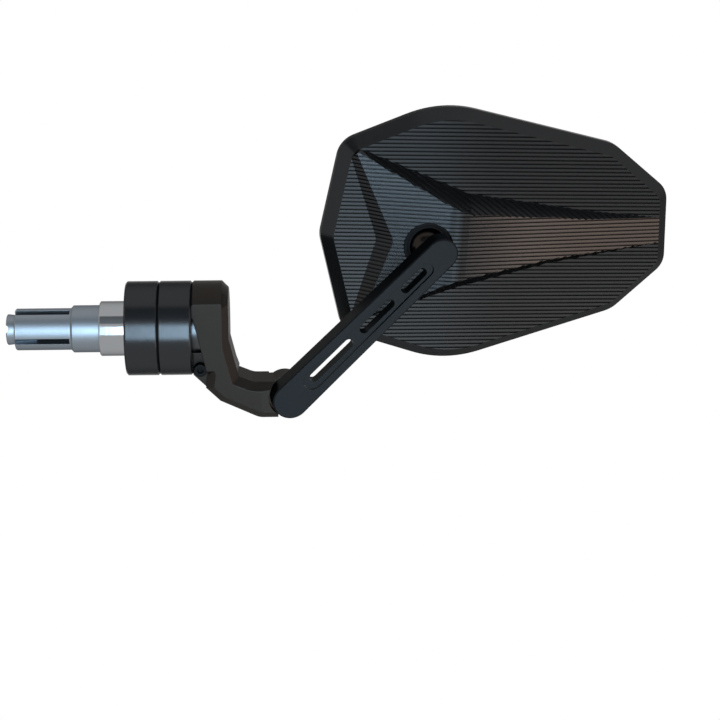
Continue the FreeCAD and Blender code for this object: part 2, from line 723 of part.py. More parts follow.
def screw(label, diameter, length, head_diameter, head_height, key, key_depth, place):
    """Socket head screw with its head's seat at its own origin and the head towards +X."""
    shank = f"{diameter} / 2"
    head = f"{head_diameter} / 2"
    edge = "sizes.screw_edge"
    start = f"(0 - {length})"
    body = turned(label, (
        (start, ZERO), (start, f"{shank} - {edge}"), (f"{start} + {edge}", shank), (ZERO, shank), (ZERO, head),
        (f"{head_height} - {edge}", head), (head_height, f"{head} - {edge}"), (head_height, ZERO)))
    doc.recompute()
    key_socket(body, head_height, key_depth, key, -1)
    return node(body, label, place)


def make_pinch_screw():
    screw("pinch_screw", "sizes.pinch_screw_diameter", "sizes.pinch_screw_length", "sizes.pinch_head_diameter",
          "sizes.pinch_head_height", "sizes.pinch_key", "sizes.pinch_key_depth", pinch_frame)


# Arm and its pivot

PIVOT_HOLE = "sizes.pivot_bolt_diameter / 2 + sizes.slide_clearance"
STUD_PLACE = value_of("sizes.arm_length - sizes.stud_inset")
GRUB_PLACE = Placement(Vector(STUD_PLACE, 0, size("grub_level")), Rotation(Vector(1, 0, 0), 90))


def make_arm():
    arm = doc.addObject("PartDesign::Body", "arm_milled")
    outline = body_sketch(arm, "XY_Plane", "arm_outline")
    draw_slot(outline, ZERO, "sizes.arm_length", "sizes.arm_pivot_width / 2", "sizes.arm_tip_width / 2")
    blank = arm.newObject("PartDesign::Pad", "arm_blank")
    blank.Profile = outline
    blank.setExpression("Length", "sizes.arm_thickness")
    arm.Tip = blank
    doc.recompute()
    faces = [f"Face{number}" for number, face in enumerate(blank.Shape.Faces, start=1)
             if abs(face.normalAt(0, 0).z) > 0.99]
    bevel = arm.newObject("PartDesign::Chamfer", "arm_bevel")
    bevel.Base = (blank, faces)
    bevel.setExpression("Size", "sizes.arm_edge")
    arm.Tip = bevel
    pocket_ends = ("sizes.pocket_start + sizes.pocket_start_width / 2",
                   "sizes.arm_length - sizes.pocket_stop - sizes.pocket_end_width / 2")
    for side, level in (("front", "sizes.arm_thickness"), ("rear", ZERO)):
        outline = body_sketch(arm, "XY_Plane", f"arm_{side}_pocket_outline")
        outline.setExpression(".AttachmentOffset.Base.z", level)
        draw_slot(outline, *pocket_ends, "sizes.pocket_start_width / 2", "sizes.pocket_end_width / 2")
        pocket = arm.newObject("PartDesign::Pocket", f"arm_{side}_pocket")
        pocket.Profile = outline
        pocket.setExpression("Length", "sizes.pocket_depth")
        pocket.Reversed = side == "rear"
        arm.Tip = pocket
    last_end = "(sizes.arm_length - sizes.third_slot_stop)"
    half = "sizes.slot_width / 2"
    for slot, start, end in (("first", "sizes.first_slot_start", "sizes.first_slot_end"),
                             ("second", "sizes.second_slot_start", "sizes.second_slot_end"),
                             ("third", f"{last_end} - sizes.third_slot_length", last_end)):
        outline = body_sketch(arm, "XY_Plane", f"arm_{slot}_slot_outline")
        draw_slot(outline, f"{start} + {half}", f"{end} - {half}", half, half)
        through = arm.newObject("PartDesign::Pocket", f"arm_{slot}_slot")
        through.Profile = outline
        through.Type = 1
        through.Midplane = True
        arm.Tip = through
    doc.recompute()
    threads = cylinder("arm_pivot_thread", "sizes.pivot_bolt_diameter / 2 + sizes.slide_clearance",
                       "sizes.pivot_bolt_engagement + 1", Placement(Vector(0, 0, -0.5), Rotation()))
    stud_bore = cylinder("arm_stud_bore", "sizes.stud_diameter / 2 + sizes.swivel_clearance",
                         "sizes.stud_engagement + 1", Placement(Vector(STUD_PLACE, 0, -0.5), Rotation()))
    grub_hole = cylinder("arm_grub_hole", "sizes.grub_diameter / 2 + sizes.slide_clearance",
                         "sizes.arm_tip_width", GRUB_PLACE)
    drilled = cut("arm_drilled", arm, threads, stud_bore, grub_hole)
    return node(drilled, "arm", arm_frame)


def make_pivot_parts():
    washer = doc.addObject("Part::Cut", "friction_washer_ring")
    washer.Base = cylinder("friction_washer_disc", "sizes.friction_washer_diameter / 2",
                           "sizes.friction_washer_thickness")
    washer.Tool = cylinder("friction_washer_hole", PIVOT_HOLE, "sizes.friction_washer_thickness")
    level = -size("friction_washer_thickness")
    node(washer, "arm_friction_washer", pivot_frame * Placement(Vector(0, 0, level), Rotation()))
    gap = "sizes.face_gap"
    rear = value_of(f"0 - sizes.pivot_gap - sizes.lug_thickness - {gap} - sizes.spring_washer_thickness")
    spring = doc.addObject("Part::Cut", "spring_washer_ring")
    spring.Base = cylinder("spring_washer_disc", "sizes.pivot_head_diameter / 2", "sizes.spring_washer_thickness")
    spring.Tool = cylinder("spring_washer_hole", PIVOT_HOLE, "sizes.spring_washer_thickness")
    node(spring, "arm_spring_washer", pivot_frame * Placement(Vector(0, 0, rear), Rotation()))
    backwards = Placement(Vector(0, 0, rear), Rotation(Vector(0, 1, 0), 90))
    length = (f"(sizes.spring_washer_thickness + {gap} + sizes.lug_thickness + sizes.pivot_gap"
              " + sizes.pivot_bolt_engagement)")
    screw("arm_pivot_bolt", "sizes.pivot_bolt_diameter", length, "sizes.pivot_head_diameter",
          "sizes.pivot_head_height", "sizes.pivot_key", "sizes.pivot_key_depth", pivot_frame * backwards)


# Ball joint

def make_stud():
    ball = doc.addObject("Part::Sphere", "ball")
    ball.setExpression("Radius", "sizes.ball_diameter / 2")
    ball.Placement = Placement(Vector(0, 0, -ball_depth), Rotation())
    neck = cylinder("stud_neck", "sizes.stud_neck_diameter / 2", "sizes.arm_to_socket_mouth + sizes.ball_inset",
                    ball.Placement)
    gap = size("face_gap")
    collar = cylinder("stud_collar", "sizes.stud_collar_diameter / 2", "sizes.stud_collar_length",
                      Placement(Vector(0, 0, -size("stud_collar_length") - gap), Rotation()))
    shank = cylinder("stud_shank", "sizes.stud_diameter / 2", "sizes.stud_engagement + sizes.face_gap",
                     Placement(Vector(0, 0, -gap), Rotation()))
    groove = doc.addObject("Part::Torus", "stud_groove")
    groove.setExpression("Radius1", "sizes.stud_diameter / 2 + sizes.grub_diameter / 2 - sizes.stud_groove_depth")
    groove.setExpression("Radius2", "sizes.grub_diameter / 2")
    groove.Placement = Placement(Vector(0, 0, size("grub_level")), Rotation())
    solid = joined("ball_stud_solid", ball, neck, collar, shank)
    node(cut("ball_stud", solid, groove), "ball_stud", stud_frame)
    gap_to_groove = "sizes.stud_diameter / 2 - sizes.stud_groove_depth + 2 * sizes.face_gap"
    length = f"sizes.arm_tip_width / 2 - sizes.arm_edge - ({gap_to_groove})"
    body = turned("stud_grub_screw", (
        (ZERO, ZERO), (ZERO, "sizes.grub_diameter / 8"), ("3 * sizes.grub_diameter / 8", "sizes.grub_diameter / 2"),
        (length, "sizes.grub_diameter / 2"), (length, ZERO)))
    doc.recompute()
    key_socket(body, length, "sizes.grub_key_depth", "sizes.grub_key", -1)
    tip = Placement(Vector(STUD_PLACE, -value_of(gap_to_groove), size("grub_level")), Rotation(Vector(0, 0, 1), -90))
    node(body, "stud_grub_screw", arm_frame * tip)


def sphere(name, radius):
    ball = doc.addObject("Part::Sphere", name)
    ball.setExpression("Radius", radius)
    return ball


def level_disc(name, radius, bottom, top):
    """Cylinder about the head's own Z axis between two levels."""
    return cylinder(name, radius, f"{top} - ({bottom})", Placement(Vector(0, 0, value_of(bottom)), Rotation()))


def make_socket():
    inner = "(sizes.ball_diameter / 2 + sizes.ball_clearance)"
    outer = f"({inner} + sizes.liner_thickness)"
    shell = cut("liner_shell", sphere("liner_outside", outer), sphere("liner_inside", inner))
    band = level_disc("liner_band", f"{outer} + 1", "0 - sizes.liner_back", "sizes.liner_front")
    node(common("socket_liner", shell, band), "socket_liner", head_frame)
    seat = f"({outer} + sizes.ball_clearance)"
    bore = "(sizes.socket_bore_diameter / 2 - sizes.fit_clearance)"
    spigot = "sizes.socket_mouth_diameter / 2 - sizes.fit_clearance"
    split = "(0 - sizes.socket_split)"
    flange = level_disc("ring_flange", bore, split, "sizes.socket_lip_level - sizes.fit_clearance")
    neck = level_disc("ring_neck", spigot, split, "sizes.ring_front_level")
    ring = cut("ring_blank", joined("ring_solid", flange, neck), sphere("ring_seat", seat))
    node(ring, "socket_ring", head_frame)
    cup = level_disc("cup_blank", bore, "0 - sizes.cup_length", f"{split} - sizes.fit_clearance")
    cup_seat = common("cup_seat", sphere("cup_seat_ball", seat),
                      level_disc("cup_seat_band", f"{seat} + 1", "0 - sizes.cup_shelf", ZERO))
    drop = level_disc("cup_drop", "sizes.cup_hole_diameter / 2", "0 - sizes.cup_length - 1", ZERO)
    node(cut("socket_cup", cup, cup_seat, drop), "socket_cup", head_frame)
    make_socket_plate()


BOSS = "(sizes.socket_bore_diameter / 2 + sizes.boss_wall)"


def screw_places():
    """Places of the plate's screws, spread round the middle of the boss's wall."""
    count = int(size("plate_screw_count"))
    turns = [math.radians(90 + 360 * i / count) for i in range(count)]
    radius = value_of("sizes.socket_bore_diameter / 2 + sizes.boss_wall / 2")
    return [Vector(radius * math.cos(turn), radius * math.sin(turn), 0) for turn in turns]


def make_socket_plate():
    top = "(0 - sizes.cup_length - sizes.face_gap)"
    bottom = f"({top} - sizes.socket_plate_thickness)"
    disc = level_disc("plate_disc", BOSS, bottom, top)
    shank = "sizes.plate_screw_diameter / 2"
    head = "sizes.plate_screw_head_diameter / 2"
    screws = []
    holes = []
    for number, place in enumerate(screw_places(), start=1):
        for name, extra, group in (("screw", ZERO, screws), ("hole", "sizes.slide_clearance", holes)):
            rod = cylinder(f"plate_{name}_shank_{number}", f"{shank} + {extra}", "sizes.plate_screw_length",
                           Placement(place + Vector(0, 0, value_of(bottom)), Rotation()))
            cone = doc.addObject("Part::Cone", f"plate_{name}_head_{number}")
            cone.setExpression("Radius1", f"{head} + {extra}")
            cone.setExpression("Radius2", f"{shank} + {extra}")
            cone.setExpression("Height", "sizes.socket_plate_thickness - sizes.screw_edge")
            cone.Placement = rod.Placement
            group.append(joined(f"plate_{name}_{number}", rod, cone))
    node(cut("socket_plate", disc, *holes), "socket_plate", head_frame)
    group = doc.addObject("Part::Compound", "socket_plate_screws")
    group.Links = screws
    node(group, "socket_plate_screws", head_frame)


# Head

RIM_FRONT = "(0 - sizes.rim_level)"
RIM_SHOULDER = f"({RIM_FRONT} - sizes.rim_bevel_depth)"
RIM_REAR = f"({RIM_SHOULDER} - sizes.rim_wall)"
RIM_CORNERS = ("top_left", "top", "right_upper", "right_top", "right_bottom", "right_lower", "bottom", "bottom_left",
               "left_tip")
FAR = "sizes.far"


def make_rim_sketch():
    sketch = doc.addObject("Sketcher::SketchObject", "rim_outline")
    draw_outline(sketch, [tuple(f"sizes.rim_{name}_{part}" for part in ("x", "y", "r")) for name in RIM_CORNERS])
    return sketch


def inset_outline(name, sketch, inset):
    inner = doc.addObject("Part::Offset2D", name)
    inner.Source = sketch
    inner.setExpression("Value", f"0 - ({inset})")
    return inner


def raised(name, outline, bottom, top):
    """Prism over an outline of the head between two levels."""
    prism = doc.addObject("Part::Extrusion", name)
    prism.Base = outline
    prism.DirMode = "Custom"
    prism.Dir = Vector(0, 0, 1)
    prism.Solid = True
    prism.setExpression("LengthFwd", f"{top} - ({bottom})")
    prism.Placement = Placement(Vector(0, 0, value_of(bottom)), Rotation())
    return prism


def make_roof_sketch(name, far_level):
    """Side view of the ridge's two roof slopes, closed at a level far below or far above them."""
    sketch = doc.addObject("Sketcher::SketchObject", name)
    near = f"(0 - {FAR})"
    inboard = f"sizes.crease_height - sizes.inboard_slope * (sizes.crease_place + {FAR})"
    outboard = f"sizes.crease_height - sizes.outboard_slope * ({FAR} - sizes.crease_place)"
    draw_outline(sketch, (
        (near, far_level), (FAR, far_level), (FAR, outboard),
        ("sizes.crease_place", "sizes.crease_height", "sizes.crease_radius"), (near, inboard)))
    return sketch


def across_head(name, sketch, level):
    """Side view drawn out across the head, with its base line at a level."""
    prism = doc.addObject("Part::Extrusion", name)
    prism.Base = sketch
    prism.DirMode = "Custom"
    prism.Dir = Vector(0, 0, 1)
    prism.Solid = True
    prism.setExpression("LengthFwd", f"2 * {FAR}")
    prism.Placement = Placement(Vector(0, size("far"), value_of(level)), Rotation(Vector(1, 0, 0), 90))
    return prism


def leaning_block(name, first, second, lean, level):
    """Block beside a wall whose foot joins two named corners, and that leans over the ridge."""
    start, end = (Vector(size(f"ridge_{corner}_x"), size(f"ridge_{corner}_y"), 0) for corner in (first, second))
    block = doc.addObject("Part::Box", name)
    for side in ("Length", "Width", "Height"):
        block.setExpression(side, f"4 * {FAR}")
    heading = Rotation(Vector(0, 0, 1), math.degrees(math.atan2(end.y - start.y, end.x - start.x)))
    foot = Placement(start + Vector(0, 0, value_of(level)), heading)
    middle = Placement(Vector(-2 * size("far"), 0, -2 * size("far")), Rotation())
    block.Placement = foot * Placement(Vector(), Rotation(Vector(1, 0, 0), size(lean))) * middle
    return block


def floor_block(name, height):
    block = doc.addObject("Part::Box", name)
    block.setExpression("Length", f"4 * {FAR}")
    block.setExpression("Width", f"4 * {FAR}")
    block.setExpression("Height", height)
    block.Placement = Placement(Vector(-2 * size("far"), -2 * size("far"), 0), Rotation())
    return block


def space_beside(name, corners, lean, foot, floor, height):
    """Room beside a run of leaning walls with their feet at one level, above a floor."""
    space = floor_block(name + "_floor", height)
    space.Placement = Placement(Vector(0, 0, value_of(floor)), Rotation()) * space.Placement
    for number, ends in enumerate(zip(corners, corners[1:]), start=1):
        space = common(f"{name}_{number}", space, leaning_block(f"{name}_block_{number}", *ends, lean, foot))
    return space


UPPER = ("upper_left", "upper_knee", "upper_middle", "upper_right")
LOWER = ("lower_right", "lower_middle", "lower_knee", "lower_left")
RIDGE_ROOM = "(sizes.crease_height + sizes.groove_depth + 1)"


def space_in_notch(name, floor):
    """Room in the notch at the ridge's inboard end, over a floor that rises gently from the rim's tip."""
    edge = size("rim_left_tip_x") + size("rim_bevel_width")
    tilt = Rotation(Vector(0, 1, 0), -math.degrees(math.atan(size("notch_floor_slope"))))
    base = floor_block(name + "_floor", RIDGE_ROOM)
    base.Placement = Placement(Vector(edge, 0, value_of(floor)), tilt) * base.Placement
    upper = leaning_block(name + "_upper", "notch", "notch_upper", "notch_wall_angle", floor)
    lower = leaning_block(name + "_lower", "notch_lower", "notch", "notch_wall_angle", floor)
    sharp = common(name + "_sharp", common(name + "_half", base, upper), lower)
    doc.recompute()
    tip = Vector(size("ridge_notch_x"), size("ridge_notch_y"), value_of(floor))
    nearest = min(range(len(sharp.Shape.Edges)), key=lambda i: sum(
        v.Point.distanceToPoint(tip) for v in sharp.Shape.Edges[i].Vertexes) - 99 * steep(sharp.Shape.Edges[i]))
    rounded = doc.addObject("Part::Fillet", name)
    rounded.Base = sharp
    rounded.Edges = [(nearest + 1, size("notch_radius"), size("notch_radius"))]
    return rounded


def steep(edge):
    """Whether an edge climbs through the whole height of the ridge."""
    return edge.BoundBox.ZLength > size("crease_height") / 2 and edge.BoundBox.XLength < size("far") / 2


def make_ridge(name, rim, roof, drop, inset):
    """The raised ridge with every surface lowered by the drop, inside the rim's outline less an inset."""
    floor = f"({RIM_FRONT} - {drop})"
    block = raised(name + "_block", inset_outline(name + "_rim", rim, inset), f"{floor} - sizes.rim_bevel_depth / 2",
                   f"{floor} + {RIDGE_ROOM}")
    bulk = common(name + "_bulk", block, across_head(name + "_roof", roof, floor))
    return cut(name, bulk,
               space_beside(name + "_above", UPPER, "ridge_wall_angle", floor, floor, RIDGE_ROOM),
               space_beside(name + "_below", LOWER, "ridge_wall_angle", floor, floor, RIDGE_ROOM),
               space_in_notch(name + "_notch", floor))


def make_grooves(rim):
    """Fine milled grooves: along X on the roof and the floors, and along the ridge's crest on its two walls."""
    floor = f"({RIM_FRONT} - sizes.groove_depth)"
    top = f"({floor} + {RIDGE_ROOM})"
    field = raised("groove_field", inset_outline("groove_field_rim", rim, "sizes.rim_bevel_width"), floor, top)
    depth = "sizes.groove_depth"
    air = joined("level_air",
                 across_head("air_over_roof", make_roof_sketch("air_outline", f"2 * {FAR}"), floor),
                 space_in_notch("air_in_notch", floor),
                 space_beside("air_above", UPPER, "ridge_wall_angle", RIM_FRONT, floor, depth),
                 space_beside("air_below", LOWER, "ridge_wall_angle", RIM_FRONT, floor, depth))
    slabs = make_slabs("level_slab", floor, top, 0, ("rim_bottom", "rim_top"))
    grooves = [common("level_grooves", slabs, common("level_field", field, air))]
    for name, corners, turn, ends in (
            ("upper", UPPER, -size("wall_groove_turn"), ("ridge_upper_left", "ridge_upper_right")),
            ("lower", LOWER, size("wall_groove_turn"), ("ridge_lower_right", "ridge_lower_left"))):
        room = space_beside(f"{name}_wall_air", corners, "ridge_wall_angle", floor, RIM_FRONT, RIDGE_ROOM)
        slabs = make_slabs(f"{name}_wall_slab", RIM_FRONT, top, turn, ends)
        grooves.append(common(f"{name}_wall_grooves", slabs, common(f"{name}_wall_field", field, room)))
    return grooves


def make_slabs(name, bottom, top, turn, ends):
    """One thin slab for each groove between two named corners, side by side and turned about Z."""
    pitch = size("groove_pitch")
    rotation = Rotation(Vector(0, 0, 1), turn)
    first, last = (rotation.inverted().multVec(Vector(size(end + "_x"), size(end + "_y"), 0)).y for end in ends)
    slabs = []
    for number in range(math.floor(first / pitch), math.ceil(last / pitch) + 1):
        slab = doc.addObject("Part::Box", f"{name}_{len(slabs) + 1}")
        slab.setExpression("Length", f"2 * {FAR}")
        slab.setExpression("Width", "sizes.groove_width")
        slab.setExpression("Height", f"{top} - ({bottom})")
        slab.Placement = Placement(Vector(), rotation) * Placement(
            Vector(-size("far"), number * pitch, value_of(bottom)), Rotation())
        slabs.append(slab)
    group = doc.addObject("Part::Compound", name + "s")
    group.Links = slabs
    return group


def make_head():
    rim = make_rim_sketch()
    roof = make_roof_sketch("roof_outline", f"0 - {FAR}")
    blank = raised("rim_blank", rim, RIM_REAR, RIM_FRONT)
    doc.recompute()
    bevel = doc.addObject("Part::Chamfer", "rim_bevel")
    bevel.Base = blank
    bevel.Edges = [(number, size("rim_bevel_depth"), size("rim_bevel_width"))
                   for number, edge in enumerate(blank.Shape.Edges, start=1)
                   if abs(edge.BoundBox.ZMin - value_of(RIM_FRONT)) < 0.01]
    ridge = make_ridge("ridge", rim, roof, ZERO, "sizes.rim_bevel_width")
    solid = joined("head_solid", bevel, ridge)
    boss = level_disc("socket_boss", f"{BOSS} + sizes.fit_clearance",
                      "0 - sizes.cup_length - sizes.face_gap", FAR)
    land = inset_outline("rim_land_outline", rim, "sizes.rim_land")
    shallow = raised("shallow_hollow", land, RIM_SHOULDER, f"{RIM_FRONT} - sizes.skin")
    deep = make_ridge("deep_hollow", rim, roof, "sizes.ridge_skin", "sizes.rim_land")
    hollow = cut("head_hollow", joined("hollows", shallow, deep), boss)
    recess = raised("glass_recess", inset_outline("glass_recess_outline", rim, "sizes.glass_inset"),
                    f"{RIM_REAR} - 1", RIM_SHOULDER)
    mouth = level_disc("socket_mouth", "sizes.socket_mouth_diameter / 2", ZERO, FAR)
    bore = level_disc("socket_bore", "sizes.socket_bore_diameter / 2", RIM_SHOULDER, "sizes.socket_lip_level")
    threads = [cylinder(f"plate_thread_{number}", "sizes.plate_screw_diameter / 2 + sizes.slide_clearance",
                        "sizes.plate_screw_length + sizes.screw_edge",
                        Placement(place + Vector(0, 0, value_of(RIM_SHOULDER)), Rotation()))
               for number, place in enumerate(screw_places(), start=1)]
    shell = cut("head_shell", solid, hollow, recess)
    drilled = cut("head_drilled", shell, mouth, bore, *threads)
    housing = drilled
    for grooves in make_grooves(rim):
        housing = cut("grooved_by_" + grooves.Name, housing, grooves)
    node(housing, "head_housing", head_frame)
    pad_inset = "sizes.glass_inset + sizes.glass_pad_inset"
    pad = raised("glass_pad", inset_outline("glass_pad_outline", rim, pad_inset),
                 f"{RIM_SHOULDER} - sizes.glass_pad_thickness", RIM_SHOULDER)
    node(pad, "glass_pad", head_frame)
    glass_front = f"({RIM_SHOULDER} - sizes.glass_pad_thickness)"
    glass = raised("mirror_glass", inset_outline("mirror_glass_outline", rim,
                                                 "sizes.glass_inset + sizes.glass_clearance"),
                   f"{glass_front} - sizes.glass_thickness", glass_front)
    node(glass, "mirror_glass", head_frame)


make_expander_cone()
make_expander_sleeve()
make_rings()
make_hub()
make_clamp_bolt()
make_elbow()
make_pinch_screw()
make_arm()
make_pivot_parts()
make_stud()
make_socket()
make_head()
doc.recompute()

for item in doc.Objects:
    if "Invalid" in item.State or "Error" in item.State:
        raise RuntimeError(f"{item.Name} has state {item.State}")

os.makedirs("parts", exist_ok=True)
for part in NODES:
    shape = part.Shape
    if shape.isNull() or not shape.isValid() or not shape.Solids:
        raise RuntimeError(f"{part.Label} has no valid solid")
    shape.exportStep(os.path.join("parts", part.Label + ".step"))
    print(f"{part.Label}: {len(shape.Solids)} solid(s), {shape.Volume:.1f} mm3")
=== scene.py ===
import bpy
import math
from mathutils import Matrix, Vector


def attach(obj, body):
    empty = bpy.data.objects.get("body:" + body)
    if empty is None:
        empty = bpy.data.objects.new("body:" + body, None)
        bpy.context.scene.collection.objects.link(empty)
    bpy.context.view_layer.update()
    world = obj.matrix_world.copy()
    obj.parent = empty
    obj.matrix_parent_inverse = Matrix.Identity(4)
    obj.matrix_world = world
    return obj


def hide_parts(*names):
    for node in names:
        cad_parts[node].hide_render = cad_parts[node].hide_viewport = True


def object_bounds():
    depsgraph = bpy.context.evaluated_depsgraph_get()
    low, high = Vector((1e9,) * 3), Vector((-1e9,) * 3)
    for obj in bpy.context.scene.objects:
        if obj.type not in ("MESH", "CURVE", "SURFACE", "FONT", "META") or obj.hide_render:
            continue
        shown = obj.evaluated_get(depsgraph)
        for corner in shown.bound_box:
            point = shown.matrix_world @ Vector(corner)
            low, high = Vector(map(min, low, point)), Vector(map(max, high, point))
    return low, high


# Bar end mirror for a motorcycle handlebar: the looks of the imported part.
# All lengths are in metres, in the part's own frame: +X outboard along the bar, +Z up, -Y forward.

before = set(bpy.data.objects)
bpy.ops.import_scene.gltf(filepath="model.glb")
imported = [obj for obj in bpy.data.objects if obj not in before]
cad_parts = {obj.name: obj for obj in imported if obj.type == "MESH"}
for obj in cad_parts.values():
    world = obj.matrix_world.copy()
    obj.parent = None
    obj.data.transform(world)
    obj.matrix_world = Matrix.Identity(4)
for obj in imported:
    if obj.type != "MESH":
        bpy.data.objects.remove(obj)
CAD_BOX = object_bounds()

MM = 0.001
WHITE = (1, 1, 1, 1)


def deselect_all():
    bpy.ops.object.select_all(action="DESELECT")


def select_only(piece):
    deselect_all()
    piece.select_set(True)
    bpy.context.view_layer.objects.active = piece


# Camera

CAMERA_PLACE = Vector((0.0576, -0.6671, 0.2425))
CAMERA_AZIMUTH = math.radians(-1.8)
CAMERA_ELEVATION = math.radians(20.9)
CAMERA_LENS = 105.0
SENSOR_WIDTH = 36.0
NEAREST_SEEN = 0.01
FARTHEST_SEEN = 20


def add_camera():
    bpy.ops.object.camera_add(location=CAMERA_PLACE)
    camera = bpy.context.object
    camera.name = "photo_camera"
    camera.rotation_euler = (math.pi / 2 - CAMERA_ELEVATION, 0, CAMERA_AZIMUTH)
    camera.data.lens = CAMERA_LENS
    camera.data.sensor_width = SENSOR_WIDTH
    camera.data.clip_start = NEAREST_SEEN
    camera.data.clip_end = FARTHEST_SEEN
    bpy.context.scene.camera = camera


# Node building

def node_tree_group(name, inputs, outputs):
    """Empty shader node group with named sockets, and its input and output nodes."""
    group = bpy.data.node_groups.new(name, "ShaderNodeTree")
    for socket, kind, value in inputs:
        made = group.interface.new_socket(socket, in_out="INPUT", socket_type="NodeSocket" + kind)
        made.default_value = value
    for socket, kind in outputs:
        group.interface.new_socket(socket, in_out="OUTPUT", socket_type="NodeSocket" + kind)
    return group, group.nodes.new("NodeGroupInput"), group.nodes.new("NodeGroupOutput")


def set_or_link(tree, socket, value):
    if isinstance(value, bpy.types.NodeSocket):
        tree.links.new(value, socket)
    else:
        socket.default_value = value


def add_node(tree, kind, settings=None, **inputs):
    """Node of a kind with plain settings and inputs. An input named n2 is the node's input number 2."""
    node = tree.nodes.new("ShaderNode" + kind)
    for name, value in (settings or {}).items():
        setattr(node, name, value)
    for name, value in inputs.items():
        numbered = name[0] == "n" and name[1:].isdigit()
        set_or_link(tree, node.inputs[int(name[1:]) if numbered else name], value)
    return node


def math_node(tree, operation, first, second=0.0):
    return add_node(tree, "Math", {"operation": operation}, n0=first, n1=second).outputs[0]


def scaled(tree, colour, factor):
    """A colour made lighter or darker by a factor."""
    return add_node(tree, "VectorMath", {"operation": "SCALE"}, n0=colour, Scale=factor).outputs["Vector"]


def facing(tree, vector, aim):
    """How far a vector reaches along a direction."""
    return add_node(tree, "VectorMath", {"operation": "DOT_PRODUCT"}, n0=vector, n1=aim).outputs["Value"]


def between(tree, value, low, high):
    above = math_node(tree, "GREATER_THAN", value, low)
    return math_node(tree, "MULTIPLY", above, math_node(tree, "LESS_THAN", value, high))


def between_spaces(tree, kind, source, target, vector):
    """A normal or vector turned from the world's axes to the object's, or back."""
    settings = {"vector_type": kind, "convert_from": source, "convert_to": target}
    return add_node(tree, "VectorTransform", settings, Vector=vector).outputs[0]


# Shared surface effects

NOISE_MIDDLE = 0.5
EDGE_SAMPLES = 6
GLOSS_CLOUD_SCALE = 42.0
LATHE_CLOUD_SCALE = 120.0
# Share by which the grain lightens and darkens the colour.
FLECK_SHARE = 0.35
# Height of the grain and of the lathe's rings where their Depth is 1.
GRAIN_HEIGHT = 0.2 * MM
RING_HEIGHT = 0.1 * MM


def bumped_normal(tree, height, depth, depth_unit, edge):
    """Normal of a surface with a fine relief and with its edges rounded to a radius."""
    edges = add_node(tree, "Bevel", {"samples": EDGE_SAMPLES}, Radius=edge)
    distance = math_node(tree, "MULTIPLY", depth, depth_unit)
    return add_node(tree, "Bump", Strength=1.0, Distance=distance, Height=height,
                    Normal=edges.outputs["Normal"]).outputs["Normal"]


def make_blasted_group():
    """Fine pitted surface of blasted and anodised metal, with soft cloudy changes of gloss."""
    group, start, end = node_tree_group("blasted_metal", (
        ("Grain", "Float", 5200.0),
        ("Depth", "Float", 0.08),
        ("Roughness", "Float", 0.4),
        ("Spread", "Float", 0.08),
        ("Edge", "Float", 0.3 * MM),
        ("Color", "Color", (0.03, 0.03, 0.03, 1)),
    ), (("Color", "Color"), ("Roughness", "Float"), ("Normal", "Vector")))
    values = start.outputs
    place = add_node(group, "TexCoord").outputs["Object"]
    grain = add_node(group, "TexNoise", Vector=place, Scale=values["Grain"], Detail=3.0, Roughness=0.6)
    cloud = add_node(group, "TexNoise", Vector=place, Scale=GLOSS_CLOUD_SCALE, Detail=4.0, Roughness=0.55)
    fleck = math_node(group, "SUBTRACT", grain.outputs["Fac"], NOISE_MIDDLE)
    drift = math_node(group, "SUBTRACT", cloud.outputs["Fac"], NOISE_MIDDLE)
    wander = math_node(group, "MULTIPLY", math_node(group, "ADD", drift, fleck), values["Spread"])
    shade = math_node(group, "ADD", 1.0, math_node(group, "MULTIPLY", fleck, FLECK_SHARE))
    group.links.new(scaled(group, values["Color"], shade), end.inputs["Color"])
    group.links.new(math_node(group, "ADD", values["Roughness"], wander), end.inputs["Roughness"])
    normal = bumped_normal(group, grain.outputs["Fac"], values["Depth"], GRAIN_HEIGHT, values["Edge"])
    group.links.new(normal, end.inputs["Normal"])
    return group


def make_turned_group():
    """Close rings left by the lathe round the bar's axis."""
    group, start, end = node_tree_group("turned_metal", (
        ("Rings", "Float", 2600.0),
        ("Depth", "Float", 0.3),
        ("Edge", "Float", 0.2 * MM),
        ("Roughness", "Float", 0.3),
        ("Spread", "Float", 0.1),
    ), (("Roughness", "Float"), ("Normal", "Vector")))
    values = start.outputs
    place = add_node(group, "TexCoord").outputs["Object"]
    along = add_node(group, "SeparateXYZ", Vector=place).outputs["X"]
    rings = add_node(group, "TexNoise", {"noise_dimensions": "1D"}, W=along, Scale=values["Rings"],
                     Detail=3.0, Roughness=0.7)
    cloud = add_node(group, "TexNoise", Vector=place, Scale=LATHE_CLOUD_SCALE, Detail=3.0)
    summed = math_node(group, "ADD", rings.outputs["Fac"], cloud.outputs["Fac"])
    centred = math_node(group, "SUBTRACT", summed, 2 * NOISE_MIDDLE)
    wander = math_node(group, "MULTIPLY", centred, values["Spread"])
    group.links.new(math_node(group, "ADD", values["Roughness"], wander), end.inputs["Roughness"])
    normal = bumped_normal(group, rings.outputs["Fac"], values["Depth"], RING_HEIGHT, values["Edge"])
    group.links.new(normal, end.inputs["Normal"])
    return group


# The head's own directions: along the grooves, across them, and towards the arm.
BALL_CENTRE = Vector((0.101589, 0.012283, 0.024753))
ALONG_GROOVES = Vector((0.981354, 0.179763, -0.068015))
ACROSS_GROOVES = Vector((0.066906, 0.012255, 0.997684))
TOWARDS_ARM = ALONG_GROOVES.cross(ACROSS_GROOVES)

# The grooves as they are cut in the solid, where the painted shade of the grooves goes. Below their floor,
# measured from the ball's centre, there are none, and no painted shade.
GROOVE_PITCH = 1.35 * MM
GROOVE_WIDTH = 0.5 * MM
WALL_GROOVE_TURN = math.radians(35)
GROOVE_FLOOR = -4.7 * MM

